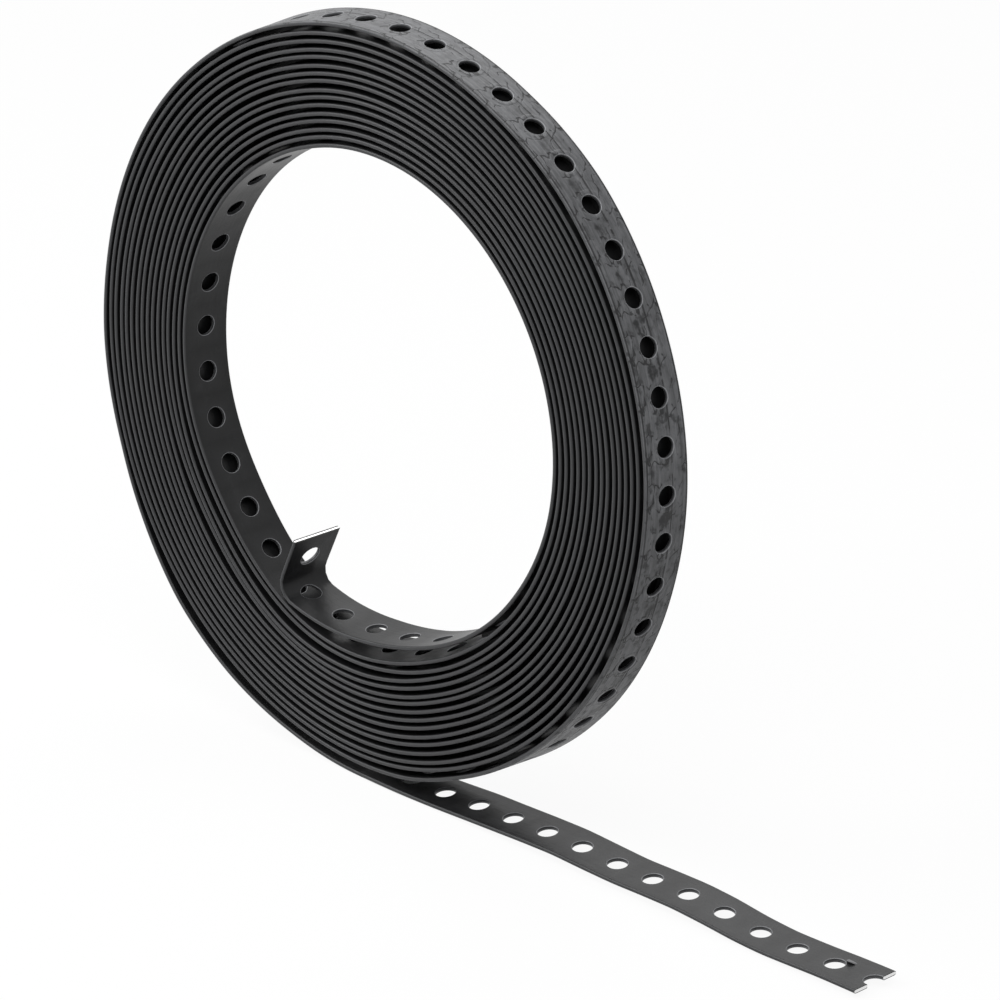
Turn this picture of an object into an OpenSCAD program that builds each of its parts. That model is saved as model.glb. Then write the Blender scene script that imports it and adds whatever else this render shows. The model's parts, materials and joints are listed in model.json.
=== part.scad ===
// Coil of perforated steel strap, standing on its rim.
// One strap: a wound coil with a loose outer turn, a straight tail and a bent inner end.

/* [Strap] */
// Width of the strap
strap_w = 17; // [12:0.5:26]
// Thickness of the strap with its coat
strap_t = 1.4; // [0.8:0.05:1.6]
// Diameter of the punched holes
hole_d = 6.5; // [4:0.1:8]
// Distance between neighbouring holes along the strap
hole_pitch = 15; // [12:0.1:20]

/* [Coil] */
// Diameter of the coil's eye
eye_d = 162; // [145:0.5:180]
// Number of closely wound turns
turns = 15; // [6:1:24]
// Distance from one turn to the next
turn_pitch = 2.55; // [2:0.05:3.5]
// Depth to which the gaps between the turns are open on each face
gap_depth = 3; // [1:0.1:5]

/* [Loose outer turn] */
// Gap between the last wound turn and the start of the loose turn
loose_clear = 0.15; // [0.1:0.05:0.5]
// Distance that the loose turn gains on its way round
loose_gain = 6; // [2.4:0.1:8]
// Height by which the coil's weight presses the foot of the loose turn flat
foot_press = 0.6; // [0:0.1:1.2]

/* [Tail] */
// Distance from the foot of the coil to the first clear hole of the tail
tail_first_hole = 29.5; // [20:0.5:45]
// Number of whole holes from there to the end
tail_holes = 12; // [4:1:16]
// Distance that the sheared end lies past the middle of the hole it cuts
end_past_hole = -0.3; // [-1.5:0.1:2.5]
// Distance that the tail lies flat beyond the foot of the coil
tail_flat = 16; // [0:1:40]
// Height of the wave in the tail
wave_h = 3; // [0:0.1:5]
// Length of the wave in the tail
wave_len = 168; // [130:1:250]

/* [Inner end] */
// Radius of the free stretch that lies in the eye
arch_r = 93.5; // [88:0.5:102]
// Distance between the free stretch and the first turn, at its middle
arch_lift = 3.4; // [3:0.1:6]
// Direction of the middle of the free stretch, from straight down
arch_dir = 13; // [0:1:30]
// Distance between the foot of the bend and the first turn
bend_gap = 0.6; // [0.4:0.1:1.2]
// Radius of the bend, at the middle of the strap
bend_r = 4.2; // [3:0.1:7]
// Angle through which the end is bent
bend_turn = 100; // [60:1:120]
// Length of the flap beyond the bend
flap_len = 16.4; // [14:0.1:28]
// Distance from the tip of the flap to its hole
tip_to_hole = 9.8; // [7:0.1:11]

/* [Hidden] */
$fn = 96;

half_t = strap_t / 2;
first_r = eye_d / 2 + half_t;
last_r = first_r + (turns - 1) * turn_pitch;
// How far a hole's cutter reaches past each side of the strap
reach = 0.6;
// Bridge between the turns: it reaches this far into the start of the loose turn, and carries it
bridge_lap = 0.45;
bridge_r = last_r + half_t + loose_clear + bridge_lap;
// Angle between neighbouring points on the turns, and distance on the tail
step_deg = 4;
step_len = 8;

// Loose outer turn: radius at an angle measured from the foot of the coil, counter to the clock
function loose_r(a) = last_r + strap_t + loose_clear + loose_gain * pow(a / 360, 2);
axis_z = loose_r(360) + half_t - foot_press;
// Its place there: it lies flat where the round of the coil would reach below the floor
function loose_at(a) = let (p = [0, axis_z] + loose_r(a) * down(a)) [p[0], max(p[1], half_t)];
loose_mean_r = loose_r(180);

// Tail: height of the middle of the strap at a distance from the foot of the coil
function wave_deg(x) = 360 * max(x - tail_flat, 0) / wave_len;
function tail_z(x) = half_t + wave_h * (1 - cos(wave_deg(x))) / 2;
function tail_slope(x) = atan(wave_h * PI / wave_len * sin(wave_deg(x)));
tail_end = tail_first_hole + tail_holes * hole_pitch + end_past_hole;

// Inner end: centre of the free stretch, and its angles where it leaves the turns and where it bends
arch_e = arch_r - (first_r - strap_t - arch_lift);
arch_c = [-arch_e * sin(arch_dir), arch_e * cos(arch_dir)];
function arch_half(r) = acos((pow(arch_r, 2) + pow(arch_e, 2) - pow(r, 2)) / (2 * arch_r * arch_e));
arch_from = arch_dir + arch_half(first_r);
arch_to = arch_dir - arch_half(first_r - strap_t - bend_gap);
arch_len = arch_r * (arch_from - arch_to) * PI / 180;
bend_len = bend_r * bend_turn * PI / 180;
bend_c = arch_c + (arch_r - bend_r) * down(arch_to);
flap_heading = 180 + arch_to - bend_turn;
flap_foot = bend_c + bend_r * [-sin(flap_heading), cos(flap_heading)];

// The whole part lies with the middle of its box over the origin
box_mid_x = (tail_end - loose_r(270) - half_t) / 2;

// Unit vector at an angle from straight down, counter to the clock
function down(a) = [sin(a), -cos(a)];
// A point of a path is [place, heading]; its side lies square to the heading
function side(p, d) = p[0] + d * [-sin(p[1]), cos(p[1])];
function reversed(list) = [for (i = [len(list) - 1:-1:0]) list[i]];
function even_steps(length, step) = ceil(length / step);

// Path of the loose turn and the tail, from the last wound turn to the sheared end
function loose_path() = let (n = 360 / step_deg, m = even_steps(tail_end, step_len)) concat(
    [for (i = [0:n - 1]) let (a = i * step_deg) [loose_at(a), a]],
    [for (i = [0:m]) let (x = i * tail_end / m) [[x, tail_z(x)], tail_slope(x)]]
);

// Path of the inner end, from the first wound turn round the bend to the tip of the flap
function inner_path() = let (
    n = even_steps(arch_from - arch_to, step_deg / 2),
    m = even_steps(bend_turn, step_deg * 3)
) concat(
    [for (i = [0:n - 1]) let (a = arch_from + i * (arch_to - arch_from) / n)
        [[0, axis_z] + arch_c + arch_r * down(a), 180 + a]],
    [for (i = [0:m]) let (h = 180 + arch_to - i * bend_turn / m)
        [[0, axis_z] + bend_c + bend_r * [-sin(h), cos(h)], h]],
    [[[0, axis_z] + flap_foot + flap_len * [cos(flap_heading), sin(flap_heading)], flap_heading]]
);

// Strap of full width along a path in the coil's plane
module strap_along(path) {
    rotate([90, 0, 0])
        linear_extrude(strap_w, center = true)
            polygon(concat([for (p = path) side(p, half_t)], [for (p = reversed(path)) side(p, -half_t)]));
}

// Turned body: every wound turn is a ridge of full width on a narrower bridge
module wound_turns() {
    translate([0, 0, axis_z])
        rotate([90, 0, 0])
            rotate_extrude($fn = 240) {
                translate([first_r, gap_depth - strap_w / 2])
                    square([bridge_r - first_r, strap_w - 2 * gap_depth]);
                for (i = [0:turns - 1])
                    translate([eye_d / 2 + i * turn_pitch, -strap_w / 2])
                        square([strap_t, strap_w]);
            }
}

// Cutter for one punched hole: a place in the coil's plane and the heading of the strap there
module hole_at(place, heading) {
    translate([place[0], 0, place[1]])
        rotate([0, -heading, 0])
            cylinder(h = strap_t + 2 * reach, d = hole_d, center = true);
}

// Holes of the tail, the hole that the sheared end cuts, and those under the coil
module tail_cuts() {
    for (x = [tail_first_hole % hole_pitch:hole_pitch:tail_end + hole_d / 2])
        hole_at([x, tail_z(x)], 0);
}

// Holes of the loose turn, in step with those of the tail
module loose_cuts() {
    pitch_deg = hole_pitch / loose_mean_r * 180 / PI;
    first_deg = (hole_pitch - tail_first_hole % hole_pitch) / loose_mean_r * 180 / PI;
    for (back = [first_deg:pitch_deg:360 - pitch_deg / 2])
        hole_at(loose_at(360 - back), -back);
}

// Holes of the flap, the free stretch and the first wound turn, in step from the tip
module inner_cuts() {
    free_len = flap_len + bend_len + arch_len;
    hole_at([0, axis_z] + flap_foot + (flap_len - tip_to_hole) * [cos(flap_heading), sin(flap_heading)], flap_heading);
    for (s = [tip_to_hole + hole_pitch:hole_pitch:free_len]) {
        a = arch_to + (s - flap_len - bend_len) / arch_r * 180 / PI;
        hole_at([0, axis_z] + arch_c + arch_r * down(a), 180 + a);
    }
    turn_from = atan2((arch_c + arch_r * down(arch_from))[0], -(arch_c + arch_r * down(arch_from))[1]);
    pitch_deg = hole_pitch / first_r * 180 / PI;
    first_deg = (hole_pitch - (free_len - tip_to_hole) % hole_pitch) / first_r * 180 / PI;
    for (on = [first_deg:pitch_deg:360 - pitch_deg / 2])
        hole_at([0, axis_z] + first_r * down(turn_from + on), turn_from + on);
}

module strap() {
    color([0.13, 0.13, 0.14])
        translate([-box_mid_x, 0, 0])
            difference() {
                union() {
                    wound_turns();
                    strap_along(loose_path());
                    strap_along(inner_path());
                }
                tail_cuts();
                loose_cuts();
                inner_cuts();
            }
}

strap();
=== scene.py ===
"""A coil of black coated, perforated steel strap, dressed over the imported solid.

One strap is carried along one line: flap, bend, free stretch, sixteen turns and tail. All sizes are in
millimetres until the mesh is made.
"""

import json
import math

import bpy
import numpy as np
from mathutils import Matrix, Vector


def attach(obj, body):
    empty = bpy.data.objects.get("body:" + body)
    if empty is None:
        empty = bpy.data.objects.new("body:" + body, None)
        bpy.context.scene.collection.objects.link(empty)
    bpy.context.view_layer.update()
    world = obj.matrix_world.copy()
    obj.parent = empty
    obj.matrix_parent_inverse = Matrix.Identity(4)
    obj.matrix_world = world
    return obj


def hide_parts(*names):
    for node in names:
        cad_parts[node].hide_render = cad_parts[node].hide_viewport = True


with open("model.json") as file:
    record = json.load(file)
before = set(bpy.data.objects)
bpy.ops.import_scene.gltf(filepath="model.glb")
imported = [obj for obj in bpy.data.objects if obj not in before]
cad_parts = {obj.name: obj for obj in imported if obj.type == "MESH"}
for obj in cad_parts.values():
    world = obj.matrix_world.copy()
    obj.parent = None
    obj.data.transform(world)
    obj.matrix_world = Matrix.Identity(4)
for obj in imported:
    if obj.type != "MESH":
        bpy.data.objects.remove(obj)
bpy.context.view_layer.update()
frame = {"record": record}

MM = 0.001
PER_METRE = 1 / MM

# Strap: its section, and the radius of its rounded edges, with the flat between them
STRAP_W, STRAP_T = 17.0, 1.4
HALF_T = STRAP_T / 2
EDGE_R = 0.62
FLAT = STRAP_W / 2 - EDGE_R
# Punched holes and the width of their lips
HOLE_R, LIP = 3.25, 0.3

# Coil, seen along +Y: angles in degrees from straight down, counter to the clock
TURNS = 16
LOOSE_FROM = 360 * (TURNS - 1)
AXIS_Z = 125.4
SPIRAL_FROM, SPIRAL_R, SPIRAL_PITCH = 54.0, 80.6, 2.48
# How far the wound turns, and the loose last turn, lie out from the even spiral
RING_SHAPE = [(0, 2.5), (10, 1.0), (20, -0.5), (35, -1.5), (50, -1.55), (65, -1.1), (80, -0.3), (95, 0.1), (115, 0.05),
              (140, -0.2), (175, -0.4), (200, -0.25), (215, 0.3), (230, 1.05), (260, 2.05), (290, 2.65), (305, 3.1),
              (320, 3.8), (337, 3.7), (350, 3.2)]
LOOSE_SHAPE = [(0, 3.4), (10, 3.1), (20, 1.5), (35, 0.75), (45, 0.5), (60, 0.55), (75, 0.58), (93, 1.18), (115, 1.33),
               (138, 1.88), (155, 0.68), (180, 0.9), (200, 0.8), (221, 1.05), (245, 1.7), (262, 2.0), (275, 2.9),
               (292, 3.0), (305, 4.6), (317, 6.2), (330, 5.9), (345, 4.7), (360, 4.6)]
# Degrees over which those shapes are softened
RING_SOFT, LOOSE_SOFT = 7, 4
# Angles from the loose turn's start over which it leaves the shape of the wound turns
LOOSE_BLEND = (-25, 15)
# On the outer turns the shape by the foot comes later, and the turns left of the foot lie out
FOOT_LATE, LEFT_OUT = 7, 0.5
# Single turns that lie in or out: total angle, distance, width in degrees
SLACK = [(262, -0.75, 45), (313, -2.5, 22), (363, -0.7, 16), (372, -1.0, 22), (388, -0.8, 22), (674, -2.1, 22),
         (722, -0.9, 16), (1036, -1.0, 14), (1060, 1.0, 16), (1392, -0.7, 16), (1420, 0.9, 18), (1754, -1.5, 18),
         (4012, 0.45, 26), (4372, 0.55, 26), (4722, 0.95, 28), (5080, 1.25, 28), (5180, 0.35, 50)]
# Wobble of the turns: distance, waves in a turn, phase
WOBBLE = [(0.10, 0.613, 0.4), (0.09, 1.381, 2.1), (0.07, 2.287, 4.0)]
# Free stretch before the first turn: the angle of its end at the bend, its radius at angles, the degrees over which
# that is softened, and the angles over which it joins the turn
FREE_FROM = -23.5
FREE_SHAPE = [(-30, 83.5), (-24.5, 82.5), (-20, 81.7), (-14, 80.6), (-7.5, 79.4), (-1, 78.2), (6, 77.5),
              (12.5, 77.15), (20, 77.1), (30, 77.35), (40, 77.8), (55, 78.6), (65, 79.2), (75, 79.9), (90, 80.8)]
FREE_SOFT, FREE_BLEND = 4, (55, 90)

# Inner end: its bend and its flap, and its holes, from the tip as far as a total angle
BEND_R, BEND_TURN = 5.6, 97.0
FLAP_LEN, TIP_TO_HOLE = 14.6, 8.6
INNER_PITCH, INNER_TO = 15.27, 430.0

# Tail: distance from the foot of the coil to its first stated hole, and the height of its underside over the floor at
# distances from the foot, softened over a distance
FOOT_TO_HOLE = 29.5
TAIL_RISE = [(0, 0.2), (8, 0.45), (17, 0.8), (26, 1.15), (35, 1.6), (45, 2.2), (58, 2.7), (71, 3.25), (84, 3.6),
             (97, 3.15), (110, 2.8), (122, 3.15), (135, 3.35), (147, 2.75), (160, 1.55), (172, 1.05), (184, 1.4),
             (196, 1.9), (208, 2.15)]
TAIL_SOFT = 6
# Holes of the loose turn: their step and the total angle where they start, the distance before the foot of the one
# they are counted from, and the steps from that one to the first stated hole of the tail
OUTER_PITCH, OUTER_FROM = 15.12, 5370.0
LOOSE_HOLE, HOLES_FROM_THERE = 386.8, 28
# Sheared end: the step to the hole it cuts, its distance past that hole's middle, and its skew over a distance
LAST_PITCH, END_PAST_HOLE = 15.9, 0.2
END_SKEW, SKEW_OVER = 0.06, (197, 209)

# How far the edge at +Y lies along X and up, for each unit of width. Inner end: distance from the tip, along X, up
INNER_LEAN = [(0, 0.175, 0.09), (24, 0.15, 0.115), (45, 0.02, 0.14), (62, 0.0, 0.1), (80, 0.0, 0.04),
              (105, 0.0, 0.03), (135, 0.0, 0.0)]
INNER_SOFT_X, INNER_SOFT_Z = 6, 8
# First turn: total angle, along X, up, and the distance over which it fades
TURN_LEAN = [(280, 0.08, 0.0, 75), (315, 0.0, 0.09, 38), (378, 0.0, 0.2, 50)]
# Loose turn, which opens outwards: its share, and the distances from its start over which that comes and goes
LOOSE_OPENS, OPENS_OVER, SHUTS_OVER = 0.064, (30, 110), (430, 500)
# Tail: distance from the foot, up
TAIL_LEAN = [(0, 0.0), (8, 0.042), (16, 0.085), (26, 0.115), (44, 0.148), (58, 0.138), (95, 0.123), (110, 0.103),
             (146, 0.106), (158, 0.078), (172, 0.058), (190, 0.048), (208, 0.075)]

# Points on the line of the strap, the first points past the bend and the foot, and how far the line runs on past the
# last hole's step
COIL_POINTS, BEND_POINTS, FLAP_POINTS, TAIL_POINTS = 12000, 40, 24, 520
FLAP_FIRST, TAIL_FIRST, RUN_ON = 0.5, 0.4, 3
# Steps of the mesh: across and along a cell with a hole, along the sheared end's cell, and the length of one on the
# plain turns; then the angles round an edge
ACROSS, ALONG, END_STEPS, PLAIN_STEP = 6, 6, 4, 3.4
EDGE_ANGLES = np.radians([90, 54, 18, -18, -54, -90])
# Rings from the upper border through a hole to the lower border: added radius, height, the normal's parts towards
# the hole's axis and out, and wear, which on the lips' rounding and upper wall is partly a painted highlight of the
# glint the rims catch; the first and last are the border itself
LIP_RINGS = [(None, 1.0, 0.0, 1.0, 0.0), (LIP, 1.0, 0.0, 1.0, 0.2), (0.1, 0.88, 0.6, 0.8, 7.0),
             (0.0, 0.6, 0.97, 0.25, 3.0), (0.0, -0.6, 0.97, -0.25, 0.3), (0.1, -0.88, 0.6, -0.8, 7.0),
             (LIP, -1.0, 0.0, -1.0, 0.2), (None, -1.0, 0.0, -1.0, 0.0)]
# Places nearer than this, in metres, are one
JOIN = 1e-6
# Share of the thickness that shows steel: on the sheared end and on the flap's tip
END_CORE, TIP_CORE = 0.68, 0.42
# Painted shade on the tail's lower edges: the share of the rubbed paleness that their lower half, facing the floor,
# lacks, and the distances from the foot over which it comes
TAIL_LOWER_EDGE_SHADE, TAIL_LOWER_EDGE_SHADE_OVER = 0.9, (-10, 40)
# Bridge between the turns: its place across, the angles where it starts and runs out, its step, and how far it sinks
# into the turn below and passes the face of the turn above
BRIDGE_V, BRIDGE_FROM, BRIDGE_FADE, BRIDGE_STEP = (4.4, 5.8), 30, (LOOSE_FROM - 65, LOOSE_FROM - 2), 2.0
BRIDGE_SINK, BRIDGE_LAP = 0.1, 0.35
# Torn flake: start past the hole, length, place across, slant, width, lift, thickness and how far it is sunk
BURR_FROM, BURR_LEN, BURR_V, BURR_SLANT, BURR_W = 1.4, 4.0, 4.9, 0.6, 2.7
BURR_LIFT, BURR_T, BURR_SINK = 1.1, 0.22, 0.06

# Coat: base grey, what is added at rubbed edges (on the hole lips partly a painted highlight), on the loose turn's
# outside and along the tail (painted light, lower by the coil as a painted shadow of the coil), and gloss
COAT_BLACK, EDGE_GREY, OUTER_GREY, TAIL_PAINTED_LIGHT = 0.009, 0.034, 0.125, 0.006
COAT_TINT = (0.985, 1.0, 1.045, 1)
COAT_ROUGH, COAT_SPECULAR = 0.36, 0.22
# Marks of the rolls on the loose turn: a seam and two grooves across it, whose dark lines are painted shade, and
# a rim round each hole
SEAM_V, GROOVE_V, RIM_R = 2.1, 7.8, 4.4
BUMP_STRENGTH, BUMP_DISTANCE = 0.7, 0.00025

# Camera of the photograph, in the frame of the coil's axis: turned, tipped and rolled in degrees, millimetres
CAM_YAW, CAM_PITCH, CAM_ROLL = 44.912, 21.798, 1.442
CAM_T = (-34.727, -31.199, 1995.907)
CAM_F = 6486.9
SENSOR = 36.0
PICTURE = 1000

# Floor, in metres: a disc just under the part; its colour, the share of white that is seen, and the share that the
# strip under the strap by the foot loses, with that strip's borders in millimetres
FLOOR_R, FLOOR_SIDES, FLOOR_DROP = 9, 64, 0.0001
FLOOR_GREY = 0.86
FLOOR_WHITE, FOOT_SHADE = 0.93, 0.92
SHADE_Y, SHADE_FROM, SHADE_TO = (6.5, 8.5), (0.0, 6.0), (14.0, 25.0)
# Share of the white world that lights the part
WORLD_LIGHT = 0.25
# Soft boxes: name, place, what they face, size in metres, and watts
LIGHTS = [("back_box", (-0.5, 0.7, 1.1), (-0.02, 0, 0.15), (0.9, 0.8), 5),
          ("top_box", (0.4, -0.45, 1.2), (0.02, 0, 0.15), (0.9, 0.8), 8),
          ("front_box", (-0.8, -0.75, 0.9), (-0.04, 0, 0.12), (1.0, 0.9), 14)]

mounts = frame["record"]["mounts"]
foot_x = mounts[0]["pos_m"][0] / MM - FOOT_TO_HOLE
tail_hole_x = np.array([m["pos_m"][0] / MM - foot_x for m in mounts])


def ease(x, a, b):
    """0 before a, 1 after b, and 3t^2 - 2t^3 between."""
    t = np.clip((x - a) / (b - a), 0, 1)
    return t * t * (3 - 2 * t)


def bell(x, width):
    """exp of minus the square of x over width."""
    return np.exp(-(x / width) ** 2)


def through(places, values, x, soft, period=None):
    """Straight lines through the values at the places, softened by a mean over a distance on each side."""
    steps = np.linspace(-1, 1, 9)
    weights = np.cos(steps * np.pi / 2) ** 2 + 0.02
    lines = (w * np.interp(x + soft * d, places, values, period=period) for d, w in zip(steps, weights))
    return sum(lines) / weights.sum()


def coil_radius(a):
    """Radius of the strap's middle at a total angle a in degrees: an even spiral plus the shape that all wound turns
    share, the slack of single turns and a small wobble; the loose turn and the free stretch have their own."""
    turn = a / 360
    off = (a + 180) % 360 - 180
    late = FOOT_LATE * ease(turn, 6, 13) * ease(off, -40, -5) * (1 - ease(off, 50, 100))
    shape = through(*np.array(RING_SHAPE).T, a - late, RING_SOFT, 360)
    shape = shape + LEFT_OUT * ease(turn, 9, 14) * bell(off + 55, 24)
    for at, size, width in SLACK:
        shape = shape + size * bell(a - at, width)
    w = 2 * np.pi * turn
    wobble = sum(size * np.sin(waves * w + phase) for size, waves, phase in WOBBLE)
    shape = shape + wobble * ease(turn, 0.3, 1.2)
    on = a - LOOSE_FROM
    shape = shape + (through(*np.array(LOOSE_SHAPE).T, on, LOOSE_SOFT) - shape) * ease(on, *LOOSE_BLEND)
    r = SPIRAL_R + SPIRAL_PITCH * (a - SPIRAL_FROM) / 360 + shape
    return r + (through(*np.array(FREE_SHAPE).T, a, FREE_SOFT) - r) * (1 - ease(a, *FREE_BLEND))


def strap_line():
    """The middle of the strap in the coil's plane as points in order from the flap's tip to the sheared end,
    with the angle of the heading and the distance along; then the angle and the distance on the coil."""
    a = np.linspace(FREE_FROM, 360 * TURNS, COIL_POINTS)
    r = coil_radius(a)
    t = np.radians(a)
    x, z = r * np.sin(t), AXIS_Z - r * np.cos(t)
    # No turn lies below the floor
    z = np.maximum(z, HALF_T)
    # Bend and flap, worked back from the start of the free stretch
    h = math.atan2(z[0] - z[1], x[0] - x[1])
    b = np.radians(np.linspace(0, BEND_TURN, BEND_POINTS))
    bx = x[0] + BEND_R * (np.sin(h) - np.sin(h - b))
    bz = z[0] - BEND_R * (np.cos(h) - np.cos(h - b))
    tip_h = h - b[-1]
    f = np.linspace(FLAP_FIRST, FLAP_LEN, FLAP_POINTS)
    fx, fz = bx[-1] + f * math.cos(tip_h), bz[-1] + f * math.sin(tip_h)
    # Tail
    tx = np.linspace(TAIL_FIRST, tail_hole_x[-1] + OUTER_PITCH + RUN_ON, TAIL_POINTS)
    tz = HALF_T + through(*np.array(TAIL_RISE).T, tx, TAIL_SOFT)
    px = np.concatenate([fx[::-1], bx[:0:-1], x, tx])
    pz = np.concatenate([fz[::-1], bz[:0:-1], z, tz])
    s = np.concatenate([[0], np.cumsum(np.hypot(np.diff(px), np.diff(pz)))])
    heading = np.unwrap(np.arctan2(np.gradient(pz, s), np.gradient(px, s)))
    on_coil = s[len(s) - len(tx) - len(a):len(s) - len(tx)]
    return px, pz, heading, s, a, on_coil


line_x, line_z, line_h, line_s, coil_a, coil_s = strap_line()
foot_s = coil_s[-1]
loose_s = np.interp(LOOSE_FROM, coil_a, coil_s)


def strap_lean():
    """Lean of the strap along its line: the listed leans of the inner end, the first turn and the tail, the skew of
    the sheared end, and the loose turn, which opens a little towards +Y. Given as the tip about the line and the
    slide along it."""
    at, lean_x, lean_z = np.array(INNER_LEAN).T
    x, z = through(at, lean_x, line_s, INNER_SOFT_X), through(at, lean_z, line_s, INNER_SOFT_Z)
    for angle, turn_x, turn_z, width in TURN_LEAN:
        near = bell(line_s - np.interp(angle, coil_a, coil_s), width)
        x, z = x + turn_x * near, z + turn_z * near
    on_loose, on_tail = line_s - loose_s, line_s - foot_s
    opens = LOOSE_OPENS * ease(on_loose, *OPENS_OVER) * (1 - ease(on_loose, *SHUTS_OVER))
    x = x + END_SKEW * ease(on_tail, *SKEW_OVER)
    z = z + through(*np.array(TAIL_LEAN).T, on_tail, TAIL_SOFT)
    return np.arctan(opens + x * np.sin(line_h) - z * np.cos(line_h)), x * np.cos(line_h) + z * np.sin(line_h)


line_tip, line_slide = strap_lean()


def strap_point(s, v, n):
    """Place of a point of the strap: s along it, v across it towards +Y and n out from its middle, which is away
    from the coil's axis on a turn and under the strap on the tail."""
    x, z, h, tip, slide = (np.interp(s, line_s, c) for c in (line_x, line_z, line_h, line_tip, line_slide))
    out, across = n * np.cos(tip) + v * np.sin(tip), v * np.cos(tip) - n * np.sin(tip)
    along = v * slide
    return np.stack([foot_x + x + along * np.cos(h) + out * np.sin(h), across,
                     z + along * np.sin(h) - out * np.cos(h)], -1) * MM


def strap_direction(s, along, across, out):
    """Unit vector with the given parts along, across and out from the strap."""
    h, tip = np.interp(s, line_s, line_h), np.interp(s, line_s, line_tip)
    out, across = out * np.cos(tip) + across * np.sin(tip), across * np.cos(tip) - out * np.sin(tip)
    d = np.stack([along * np.cos(h) + out * np.sin(h), across, along * np.sin(h) - out * np.cos(h)], -1)
    return d / np.maximum(np.linalg.norm(d, axis=-1, keepdims=True), 1e-12)


def hole_places():
    """Distances along the strap of the holes that show: those of the inner end and the first turn, counted from the
    tip; those of the loose turn, counted back from one at the top, and even steps from it to the tail; and those of
    the tail, which are the record's mounts, before the half hole of the end."""
    inner_to, outer_from = np.interp([INNER_TO, OUTER_FROM], coil_a, coil_s)
    inner = np.arange(TIP_TO_HOLE, inner_to, INNER_PITCH)
    tail = np.interp(tail_hole_x, line_x[line_s > foot_s], line_s[line_s > foot_s])
    turn = np.arange(foot_s - LOOSE_HOLE, outer_from, -OUTER_PITCH)[::-1]
    left = np.linspace(turn[-1], tail[0], HOLES_FROM_THERE + 1)[1:-1]
    return inner, np.concatenate([turn, left, tail, [tail[-1] + LAST_PITCH]])


class Skin:
    """Collects quads as whole arrays: corner places, corner normals, and what the material reads at each corner,
    which is the distance along and across, the same from the quad's own hole, wear with some painted highlight and
    shade, and bare steel and the loose turn's outside, from 0 to 1."""

    def __init__(self, holes):
        self.holes = holes
        self.places, self.normals, self.reads = [], [], []

    def add(self, s, v, n, along, across, out, wear_and_painted_light=0.0, bare=0.0):
        """Quads from arrays whose last axis is the four corners, in order round the face."""
        s, v, n, along, across, out, wear_and_painted_light, bare = np.broadcast_arrays(s, v, n, along, across, out, wear_and_painted_light, bare)
        self.places.append(strap_point(s, v, n).reshape(-1, 3))
        self.normals.append(strap_direction(s, along, across, out).reshape(-1, 3))
        # What faces out on the loose turn, from its start until shortly before the foot
        outer = ease(out, 0.2, 0.6) * ease(s, loose_s - 40, loose_s + 20) * (1 - ease(s, foot_s - 60, foot_s))
        own = self.holes[np.abs(self.holes - s.mean(-1, keepdims=True)[..., None]).argmin(-1)]
        self.reads.append(np.stack([s * MM, v * MM, (s - own) * MM, v * MM, wear_and_painted_light, bare, outer], -1).reshape(-1, 7))

    def mesh(self, name):
        """One mesh: equal places are joined, and each face is turned to agree with its corners' normals."""
        places, normals, reads = (np.concatenate(c) for c in (self.places, self.normals, self.reads))
        quad = places.reshape(-1, 4, 3)
        facing = np.cross(quad[:, 2] - quad[:, 0], quad[:, 3] - quad[:, 1])
        back = (facing * normals.reshape(-1, 4, 3).sum(1)).sum(1) < 0
        order = np.arange(len(places)).reshape(-1, 4)
        order[back] = order[back, ::-1]
        order = order.ravel()
        places, normals, reads = places[order], normals[order], reads[order]
        _, first, joined = np.unique(np.round(places / JOIN).astype(np.int64), axis=0, return_index=True,
                                     return_inverse=True)
        mesh = bpy.data.meshes.new(name)
        mesh.from_pydata(places[first].tolist(), [], joined.reshape(-1, 4).tolist())
        mesh.polygons.foreach_set("use_smooth", np.ones(len(mesh.polygons), bool))
        for layer, uv in (("along_strap", reads[:, :2]), ("hole_cell", reads[:, 2:4])):
            mesh.uv_layers.new(name=layer).uv.foreach_set("vector", uv.astype(np.float32).ravel())
        finish = np.pad(reads[:, 4:], ((0, 0), (0, 1)), constant_values=1).astype(np.float32)
        mesh.color_attributes.new("finish", "FLOAT_COLOR", "CORNER").data.foreach_set("color", finish.ravel())
        mesh.normals_split_custom_set(normals)
        return mesh


def corners(grid, wrap=False):
    """The four corners of each cell of a grid over its last two axes, as a new last axis."""
    if wrap:
        grid = np.concatenate([grid, grid[..., :1]], -1)
    return np.stack([grid[..., :-1, :-1], grid[..., 1:, :-1], grid[..., 1:, 1:], grid[..., :-1, 1:]], -1)


def cell_border():
    """Border of a cell as a closed ring of points: its share along the cell and across it, each from -1 to 1, and
    the angle on the hole that each joins."""
    a, b = np.arange(ACROSS) / ACROSS * 2 - 1, np.arange(ALONG) / ALONG * 2 - 1
    one_a, one_b = np.ones(ACROSS), np.ones(ALONG)
    share_s = np.concatenate([one_a, -b, -one_a, b])
    share_v = np.concatenate([a, one_b, -a, -one_b])
    angle = np.concatenate([a * 45, 90 + b * 45, 180 + a * 45, 270 + b * 45])
    return share_s, share_v, np.radians(angle)


def at_share(share, hole, start, end):
    """Distance along for a share from -1 at each cell's start through 0 at its hole to 1 at its end."""
    hole, start, end = (c[:, None] for c in (hole, start, end))
    return np.where(share > 0, hole + (end - hole) * share, hole + (hole - start) * share)


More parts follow.
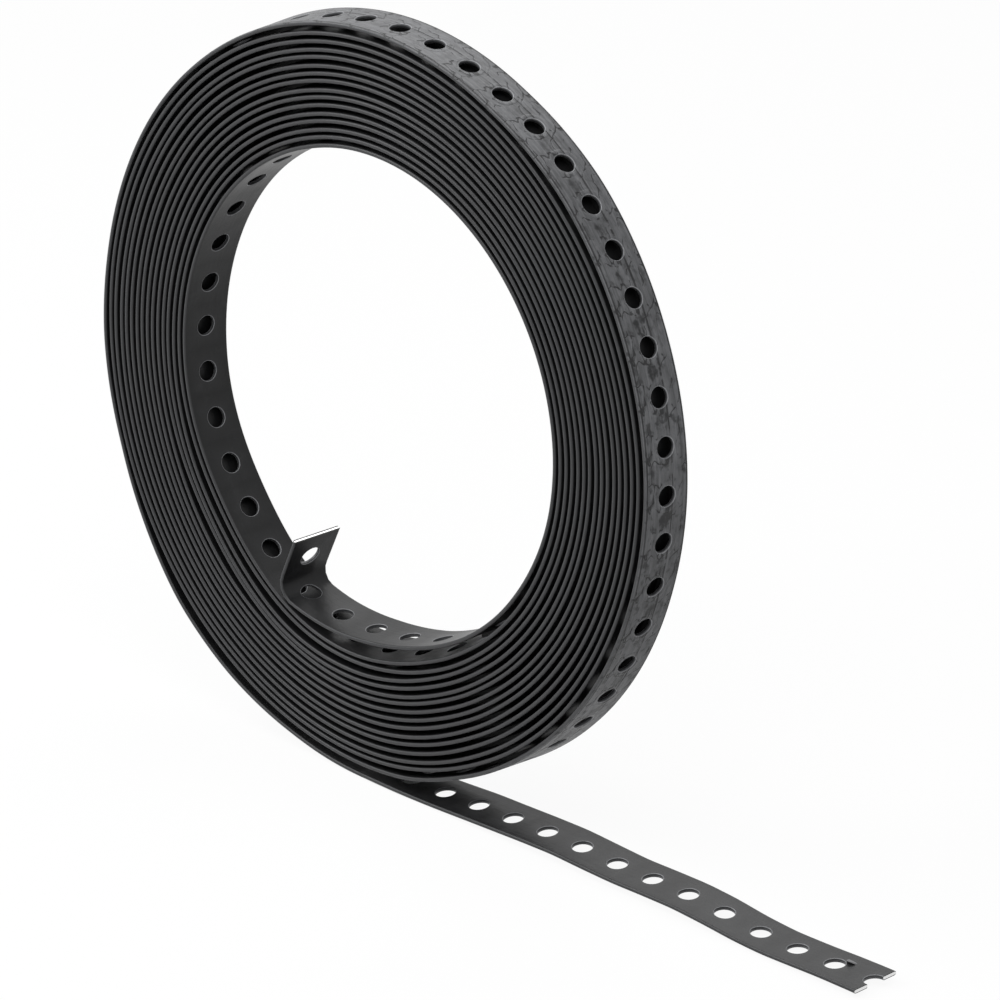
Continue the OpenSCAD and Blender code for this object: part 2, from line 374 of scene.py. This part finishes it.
def add_holed_cells(skin, hole, start, end):
    """Both faces of each cell and its hole: rings between the border and the hole, carried from the upper face
    through the hole to the lower face."""
    share_s, share_v, angle = cell_border()
    border_s = at_share(share_s, hole, start, end)
    grids = []
    for grow, height, inward, out, wear_and_painted_light in LIP_RINGS:
        if grow is None:
            s, v = border_s, FLAT * share_v + 0 * border_s
        else:
            s, v = hole[:, None] + (HOLE_R + grow) * np.cos(angle), (HOLE_R + grow) * np.sin(angle) + 0 * border_s
        grids.append((s, v, HALF_T * height + 0 * s, -inward * np.cos(angle) + 0 * s,
                      -inward * np.sin(angle) + 0 * s, out + 0 * s, wear_and_painted_light + 0 * s))
    skin.add(*(corners(np.stack(part, 1), True) for part in zip(*grids)))
    add_edges(skin, at_share(np.arange(ALONG + 1) / ALONG * 2 - 1, hole, start, end))


def add_edges(skin, stations):
    """The two rounded edges of a stretch: a half round carried along rows of stations. The wear is the root of the
    cosine of the angle round the edge, and less on the tail's lower half, which is painted shade."""
    s, b = stations[:, None, :], EDGE_ANGLES[:, None]
    for side in (1, -1):
        v = side * (FLAT + EDGE_R * np.cos(b)) + 0 * s
        n = (HALF_T - EDGE_R) * np.sign(b) + EDGE_R * np.sin(b) + 0 * s
        # Painted shade: the tail's lower edge halves, facing the floor, lose most of their rubbed paleness
        wear_and_painted_light = np.cos(b) ** 0.5 * (1 - TAIL_LOWER_EDGE_SHADE * (b > 0) * ease(s - foot_s, *TAIL_LOWER_EDGE_SHADE_OVER))
        grids = [s + 0 * v, v, n, 0 * v, side * np.cos(b) + 0 * v, np.sin(b) + 0 * v, wear_and_painted_light]
        skin.add(*(corners(g) for g in grids))


def add_plain_turns(skin, start, end):
    """The turns between, whose faces and holes don't show: two plain faces and the rounded edges."""
    s = np.linspace(start, end, int((end - start) / PLAIN_STEP))[None, :]
    v = np.array([[-FLAT], [FLAT]])
    for out in (1.0, -1.0):
        skin.add(corners(s + 0 * v), corners(v + 0 * s), HALF_T * out, 0.0, 0.0, out)
    add_edges(skin, s)


def add_bridge(skin):
    """A narrow bridge from each wound turn to the next, as the solid has between its turns: it keeps light from
    passing along the gaps. Its height is the gap there, with the lean of both turns, and a little more, and runs out
    before the foot of the loose turn."""
    a = np.arange(BRIDGE_FROM, LOOSE_FROM, BRIDGE_STEP)
    s, after = (np.interp(c, coil_a, coil_s) for c in (a, a + 360))
    spread = np.mean(BRIDGE_V) * (np.interp(after, line_s, line_tip) - np.interp(s, line_s, line_tip))
    rise = coil_radius(a + 360) - coil_radius(a) - STRAP_T + spread + BRIDGE_LAP
    s = s[None, :]
    low = HALF_T - BRIDGE_SINK + 0 * s
    high = low + rise * (1 - ease(a, *BRIDGE_FADE))
    for v, n, across, out in (
            (BRIDGE_V, (high, high), 0.0, 1.0), (BRIDGE_V[:1] * 2, (low, high), -1.0, 0.0),
            (BRIDGE_V[1:] * 2, (low, high), 1.0, 0.0)):
        n = np.concatenate(n)
        skin.add(corners(s + 0 * n), corners(np.array(v)[:, None] + 0 * n), corners(n), 0.0, across, out)


def add_cut(skin, s, facing, v, half, core):
    """A cut across the strap, from columns of places across and half thicknesses: coat, bare steel and coat."""
    rows = np.array([1.0, core, -core, -1.0])
    for i, bare in enumerate((0.0, 1.0, 0.0)):
        n = half * rows[i:i + 2, None]
        skin.add(s, corners(v + 0 * n), corners(n), facing, 0.0, 0.0, 0.0, bare)


def edge_columns():
    """Columns of the rounded edge beyond the flat: places across and half thicknesses."""
    b = EDGE_ANGLES[1:3]
    return FLAT + EDGE_R * np.cos(b), HALF_T - EDGE_R + EDGE_R * np.sin(b)


def add_tip(skin):
    """The flap's tip: one cut across the whole width."""
    ev, eh = edge_columns()
    flat = np.linspace(-FLAT, FLAT, ACROSS + 1)
    v = np.concatenate([-ev[::-1], flat, ev])
    half = np.concatenate([eh[::-1], HALF_T + 0 * flat, eh])
    add_cut(skin, 0.0, -1.0, v, half, TIP_CORE)


def add_sheared_end(skin, hole, start):
    """The sheared end: the last cell as far as the cut, which runs through its hole, with both cut lands."""
    cut = hole + END_PAST_HOLE
    side, flat = np.linspace(cut, start, END_STEPS + 1), np.linspace(-FLAT, FLAT, ACROSS + 1)
    border_s = np.concatenate([side[:-1], start + 0 * flat, side[-2::-1]])
    border_v = np.concatenate([-FLAT + 0 * side[1:], flat, FLAT + 0 * side[1:]])
    f = np.linspace(-1, 1, len(border_s))
    grids = []
    for grow, height, inward, out, wear_and_painted_light in LIP_RINGS:
        if grow is None:
            s, v, angle = border_s, border_v, 0 * f
        else:
            ring = HOLE_R + grow
            angle = math.pi - f * (math.pi - math.acos(END_PAST_HOLE / ring))
            s, v = hole + ring * np.cos(angle), ring * np.sin(angle)
        grids.append((s, v, HALF_T * height + 0 * s, -inward * np.cos(angle), -inward * np.sin(angle), out + 0 * s,
                      wear_and_painted_light + 0 * s))
    skin.add(*(corners(np.stack(part)) for part in zip(*grids)))
    add_edges(skin, np.linspace(start, cut, END_STEPS + 1)[None, :])
    ev, eh = edge_columns()
    rings = LIP_RINGS[3:0:-1]
    v = np.concatenate([[math.sqrt((HOLE_R + g[0]) ** 2 - END_PAST_HOLE ** 2) for g in rings], [FLAT], ev])
    half = np.concatenate([[HALF_T * g[1] for g in rings], [HALF_T], eh])
    for side in (1, -1):
        add_cut(skin, cut, 1.0, side * v, half, END_CORE)


def add_burr(skin, hole):
    """A torn flake of the coat beside the last whole hole: it is held along one side, and the other side is lifted
    by the sine of the share along it; its two faces meet at its border."""
    a, b = np.meshgrid(np.linspace(0, 1, 11), np.linspace(0, 1, 6), indexing="ij")
    arc = np.sin(np.pi * a) ** 0.7
    s = hole + BURR_FROM + BURR_LEN * a
    v = BURR_V - BURR_SLANT * a - BURR_W * b * (0.3 + 0.7 * arc)
    for thick, out in ((0.0, -1.0), (BURR_T, 1.0)):
        n = -(HALF_T - BURR_SINK + BURR_LIFT * np.sin(b * np.pi / 2) * arc - thick * np.sin(np.pi * b) * arc)
        # Painted highlight: the flake's upper face is much paler than its underside
        skin.add(corners(s), corners(v), corners(n), 0.0, -0.3 * out, out, 3.0 - 2.5 * (out > 0))


def make_strap():
    """The whole strap as one skin: lipped holes where they show, plain turns between."""
    inner, outer = hole_places()
    inner_mid, outer_mid = (inner[1:] + inner[:-1]) / 2, (outer[1:] + outer[:-1]) / 2
    inner_end, outer_start = inner[-1] + INNER_PITCH / 2, outer[0] - OUTER_PITCH / 2
    skin = Skin(np.concatenate([inner, outer]))
    add_tip(skin)
    add_holed_cells(skin, inner, np.append(0, inner_mid), np.append(inner_mid, inner_end))
    add_plain_turns(skin, inner_end, outer_start)
    add_bridge(skin)
    add_holed_cells(skin, outer[:-1], np.append(outer_start, outer_mid[:-1]), outer_mid)
    add_burr(skin, outer[-2])
    add_sheared_end(skin, outer[-1], outer_mid[-1])
    return skin.mesh("strap_coil")


def strap_object(material):
    """The strap as one piece, which stands in for the solid."""
    ob = bpy.data.objects.new("strap_coil", make_strap())
    bpy.context.scene.collection.objects.link(ob)
    ob.data.materials.append(material)
    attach(ob, "root")
    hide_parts("strap")


class Wire:
    """A socket of a material with operators: each adds a Math node. node() adds any other node."""

    def __init__(self, tree, socket):
        self.tree, self.socket = tree, socket

    def _math(self, op, *values):
        return node(self.tree, "ShaderNodeMath", {"operation": op}, dict(enumerate(values)))

    def __add__(self, other):
        return self._math("ADD", self, other)

    def __sub__(self, other):
        return self._math("SUBTRACT", self, other)

    def __rsub__(self, other):
        return self._math("SUBTRACT", other, self)

    def __mul__(self, other):
        return self._math("MULTIPLY", self, other)

    def __pow__(self, other):
        return self._math("POWER", self, other)

    __radd__, __rmul__ = __add__, __mul__

    def sin(self):
        return self._math("SINE", self)

    def cos(self):
        return self._math("COSINE", self)

    def span(self, low, high, to_low=0.0, to_high=1.0):
        """Low to high brought smoothly to the other two values, and held there."""
        return node(self.tree, "ShaderNodeMapRange", {"interpolation_type": "SMOOTHSTEP"},
                    {"Value": self, "From Min": low, "From Max": high, "To Min": to_low, "To Max": to_high})


def node(tree, kind, settings=None, sockets=None, out=0):
    """Adds a node: its settings first, then the values or links of its sockets. Returns one output."""
    n = tree.nodes.new(kind)
    for name, value in (settings or {}).items():
        setattr(n, name, value)
    for key, value in (sockets or {}).items():
        if isinstance(value, Wire):
            tree.links.new(value.socket, n.inputs[key])
        else:
            n.inputs[key].default_value = value
    return Wire(tree, n.outputs[out])


def mix_colour(tree, share, a, b):
    """Colour a at share 0 and b at share 1."""
    return node(tree, "ShaderNodeMix", {"data_type": "RGBA"}, {0: share, 6: a, 7: b}, 2)


def black_coat():
    """Black plastic coat on steel. Its rounded edges and the lips of its holes are rubbed paler; on the lips that is
    partly a painted highlight, and on the tail's lower edges the paleness is taken away as painted shade. The outside
    of the loose turn is scuffed grey, darker on its lower right as painted shade, with dark cracks and spots that come
    again at each hole, as the rolls left them, and a dark line of painted shade in the groove by each edge. The lifted
    flake by the last hole has a painted highlight on its upper face. The tail is lighter away from the coil, painted
    light that leaves a painted shadow of the coil by it. The two sheared ends are bright steel."""
    mat = bpy.data.materials.new("black_coat")
    mat.use_nodes = True
    t = mat.node_tree
    shader = next(n for n in t.nodes if n.type == "BSDF_PRINCIPLED")
    shader.inputs["Specular IOR Level"].default_value = COAT_SPECULAR
    place = node(t, "ShaderNodeTexCoord", out="Object")
    along = node(t, "ShaderNodeUVMap", {"uv_map": "along_strap"})
    marks = node(t, "ShaderNodeSeparateColor", None,
                 {0: node(t, "ShaderNodeAttribute", {"attribute_name": "finish"}, out="Color")})
    wear_and_painted_light, bare, outer = (Wire(t, marks.socket.node.outputs[i]) for i in range(3))

    def parts(uv_map):
        """The two parts of a UV map, in millimetres."""
        uv = node(t, "ShaderNodeUVMap", {"uv_map": uv_map})
        split = node(t, "ShaderNodeSeparateXYZ", None, {0: uv}).socket.node
        return [Wire(t, split.outputs[i]) * PER_METRE for i in range(2)]

    def noise(vector, scale, detail, rough, stretch=None):
        """Smooth noise from 0 to 1 about a half, with the vector's three parts scaled first where asked."""
        if stretch:
            vector = node(t, "ShaderNodeMapping", {"vector_type": "POINT"}, {"Vector": vector, "Scale": stretch})
        return node(t, "ShaderNodeTexNoise", {"noise_dimensions": "3D"},
                    {"Vector": vector, "Scale": scale, "Detail": detail, "Roughness": rough})

    far, across = parts("along_strap")
    from_hole = parts("hole_cell")[0]
    ring = (from_hole * from_hole + across * across) ** 0.5
    # One turn of a circle for each hole, so that a pattern comes again at each, and drifts slowly along the strap
    turn = from_hole * (2 * math.pi / OUTER_PITCH)
    again = node(t, "ShaderNodeCombineXYZ", None,
                 {0: turn.cos() * 2.4, 1: turn.sin() * 2.4, 2: across * 1.5 + far * 0.012})

    mottle = noise(place, 70.0, 4.0, 0.6)
    patches = noise(place, 240.0, 3.0, 0.55)
    streaks = noise(along, 1.0, 4.0, 0.6, (28.0, 900.0, 1.0))
    fine = noise(along, 1.0, 2.0, 0.5, (90.0, 3200.0, 1.0))
    grain = noise(place, 2600.0, 2.0, 0.5)
    scratch = noise(along, 1.0, 5.0, 0.65, (160.0, 620.0, 1.0))
    rolled = noise(again, 0.2, 1.0, 0.4)
    pitted = noise(again, 0.34, 2.0, 0.5)

    # Marks of the loose turn's outside, each from 0 to 1; the dark line of each groove is painted shade
    crack = ((rolled - 0.5) * (rolled - 0.5)).span(0.0, 0.0009, 1.0, 0.0) * patches.span(0.4, 0.55)
    seam_at = across - SEAM_V + (streaks - 0.5) * 1.6
    seam = (seam_at * seam_at).span(0.0, 0.22, 1.0, 0.0) * patches.span(0.32, 0.48)
    between = ((from_hole * from_hole) ** 0.5 - 7.0) ** 2.0 * 0.09 + (across + 0.6) ** 2.0 * 0.06
    low = far.span(loose_s + 190, loose_s + 340, 1.0, 0.4)
    spot = between.span(0.0, 1.0, 1.0, 0.0) * 0.4 + pitted.span(0.42, 0.68) * 0.6
    spot = spot * patches.span(0.33, 0.62) * (0.5 + scratch) * low
    groove_at = (across * across) ** 0.5 - GROOVE_V
    # Painted shade: a dark line in the groove by each edge, also a dip in the bump
    groove_and_shade = (groove_at * groove_at).span(0.0, 0.12, 1.0, 0.0)
    dark = (crack * 0.9 + seam * 0.8 + spot * 1.3 + groove_and_shade * 0.8).span(0.0, 1.0)
    # Greys: the scuffed outside, darker on its lower right as painted shade; rubbed edges, with a painted highlight on
    # the hole lips and painted shade on the tail's lower edges; dust; and painted light along the tail away from the
    # coil
    scuff_and_shade = OUTER_GREY * (0.25 + mottle * 0.3 + streaks.span(0.3, 0.7) * 0.5 + scratch.span(0.3, 0.7) * 0.4)
    # Painted shade: the scuff is darker on the loose turn's lower right, towards its start
    scuff_and_shade = scuff_and_shade * (1 - dark * 0.9) * far.span(loose_s + 140, loose_s + 215, 0.68, 1.0)
    # Rubbed paleness: on the hole lips partly a painted highlight, on the tail's lower edges mostly taken away as
    # painted shade
    rub_and_painted_light = EDGE_GREY * wear_and_painted_light * (0.85 + streaks * 0.3)
    dust = mottle.span(0.5, 0.75) * patches.span(0.45, 0.7)
    # Painted light: the tail is lighter away from the coil and darker by it, a painted shadow of the coil
    tail_light_ramp = far.span(foot_s + 60, foot_s + 170) * TAIL_PAINTED_LIGHT
    level = COAT_BLACK * (0.8 + patches * 0.4) + dust * 0.008 + rub_and_painted_light + outer * scuff_and_shade + tail_light_ramp
    coat = mix_colour(t, level, (0, 0, 0, 1), COAT_TINT)
    steel = mix_colour(t, fine, (0.62, 0.62, 0.62, 1), (0.85, 0.85, 0.84, 1))
    rough = COAT_ROUGH + (mottle - 0.5) * 0.16 + (streaks - 0.5) * (0.12 + outer * 0.3) + outer * 0.06
    rim_at = ring - RIM_R
    rim = (rim_at * rim_at).span(0.0, 0.5, 1.0, 0.0)
    height = (grain * 0.12 + patches * 0.45 + fine * 0.1 + streaks * 0.2 + outer * (scratch * 0.9 + rim * 0.6)
              - outer * (crack + seam + spot * 0.6 + groove_and_shade))
    bump = node(t, "ShaderNodeBump", None, {"Strength": BUMP_STRENGTH, "Distance": BUMP_DISTANCE, "Height": height})
    for name, value in (("Base Color", mix_colour(t, bare, coat, steel)), ("Roughness", rough), ("Metallic", bare),
                        ("Normal", bump)):
        t.links.new(value.socket, shader.inputs[name])
    return mat


def make_camera():
    """A pinhole at minus the turned shift, whose axes are the rows of the turn."""
    y, p, r = np.radians([CAM_YAW, CAM_PITCH, CAM_ROLL])
    turn_z = np.array([[math.cos(y), math.sin(y), 0], [-math.sin(y), math.cos(y), 0], [0, 0, 1]])
    swap = np.array([[1, 0, 0], [0, 0, -1], [0, 1, 0]])
    turn_x = np.array([[1, 0, 0], [0, math.cos(p), -math.sin(p)], [0, math.sin(p), math.cos(p)]])
    turn_r = np.array([[math.cos(r), -math.sin(r), 0], [math.sin(r), math.cos(r), 0], [0, 0, 1]])
    rows = turn_r @ turn_x @ swap @ turn_z
    at = (-rows.T @ np.array(CAM_T) + [foot_x, 0, AXIS_Z]) * MM
    cam = bpy.data.cameras.new("camera")
    cam.sensor_fit, cam.sensor_width = "HORIZONTAL", SENSOR
    cam.lens = CAM_F * SENSOR / PICTURE
    cam.clip_start, cam.clip_end = 0.05, 50
    ob = bpy.data.objects.new("camera", cam)
    bpy.context.scene.collection.objects.link(ob)
    place = np.eye(4)
    place[:3, :3] = np.stack([rows[0], -rows[1], -rows[2]], 1)
    place[:3, 3] = at
    ob.matrix_world = Matrix(place.tolist())
    bpy.context.scene.camera = ob


def seen_white(tree):
    """1 for the rays that show the background: those of the camera, of gloss and through glass."""
    rays = node(tree, "ShaderNodeLightPath").socket.node
    seen = [Wire(tree, rays.outputs[n]) for n in ("Is Camera Ray", "Is Glossy Ray", "Is Transmission Ray")]
    return (seen[0] + seen[1] + seen[2]).span(0.0, 1.0)


def make_floor():
    """A wide pale disc. The camera and reflections see it near white, and a share of its shaded colour keeps the
    shadow; under the strap by the foot, where only the holes show it, that share is most of it."""
    ring = np.linspace(0, 2 * np.pi, FLOOR_SIDES, endpoint=False)
    places = np.stack([FLOOR_R * np.cos(ring), FLOOR_R * np.sin(ring), 0 * ring - FLOOR_DROP], 1)
    mesh = bpy.data.meshes.new("floor")
    mesh.from_pydata(places.tolist(), [], [list(range(FLOOR_SIDES))])
    mat = bpy.data.materials.new("floor_white")
    mat.use_nodes = True
    t = mat.node_tree
    shader = next(n for n in t.nodes if n.type == "BSDF_PRINCIPLED")
    shader.inputs["Base Color"].default_value = (FLOOR_GREY, FLOOR_GREY, FLOOR_GREY, 1)
    shader.inputs["Roughness"].default_value = 0.9
    shader.inputs["Specular IOR Level"].default_value = 0.1
    white = node(t, "ShaderNodeEmission", None, {"Color": (1, 1, 1, 1), "Strength": 1.0})
    place = node(t, "ShaderNodeSeparateXYZ", None, {0: node(t, "ShaderNodeTexCoord", out="Object")}).socket.node
    x, y = Wire(t, place.outputs[0]) * PER_METRE - foot_x, Wire(t, place.outputs[1]) * PER_METRE
    under = ((y * y) ** 0.5).span(*SHADE_Y, 1.0, 0.0) * x.span(*SHADE_TO, 1.0, 0.0) * x.span(*SHADE_FROM)
    share = seen_white(t) * (FLOOR_WHITE - under * FOOT_SHADE)
    both = node(t, "ShaderNodeMixShader", None, {0: share, 1: Wire(t, shader.outputs[0]), 2: white})
    out = next(n for n in t.nodes if n.type == "OUTPUT_MATERIAL")
    t.links.new(both.socket, out.inputs["Surface"])
    mesh.materials.append(mat)
    ob = bpy.data.objects.new("floor", mesh)
    bpy.context.scene.collection.objects.link(ob)


def make_world():
    """White to the camera and in reflections, and softer light on the part."""
    world = bpy.data.worlds.new("studio")
    bpy.context.scene.world = world
    world.use_nodes = True
    t = world.node_tree
    back = next(n for n in t.nodes if n.type == "BACKGROUND")
    back.inputs["Color"].default_value = (1, 1, 1, 1)
    t.links.new((seen_white(t) * (1 - WORLD_LIGHT) + WORLD_LIGHT).socket, back.inputs["Strength"])


def soft_light(name, at, to, size, watts):
    """An oblong soft box that faces a point."""
    lamp = bpy.data.lights.new(name, "AREA")
    lamp.shape, lamp.size, lamp.size_y = "RECTANGLE", size[0], size[1]
    lamp.energy = watts
    ob = bpy.data.objects.new(name, lamp)
    bpy.context.scene.collection.objects.link(ob)
    ob.location = at
    ob.rotation_euler = (Vector(to) - Vector(at)).to_track_quat("-Z", "Y").to_euler()


strap_object(black_coat())
make_floor()
make_world()
for light in LIGHTS:
    soft_light(*light)
make_camera()
bpy.context.scene.view_settings.view_transform = "Standard"
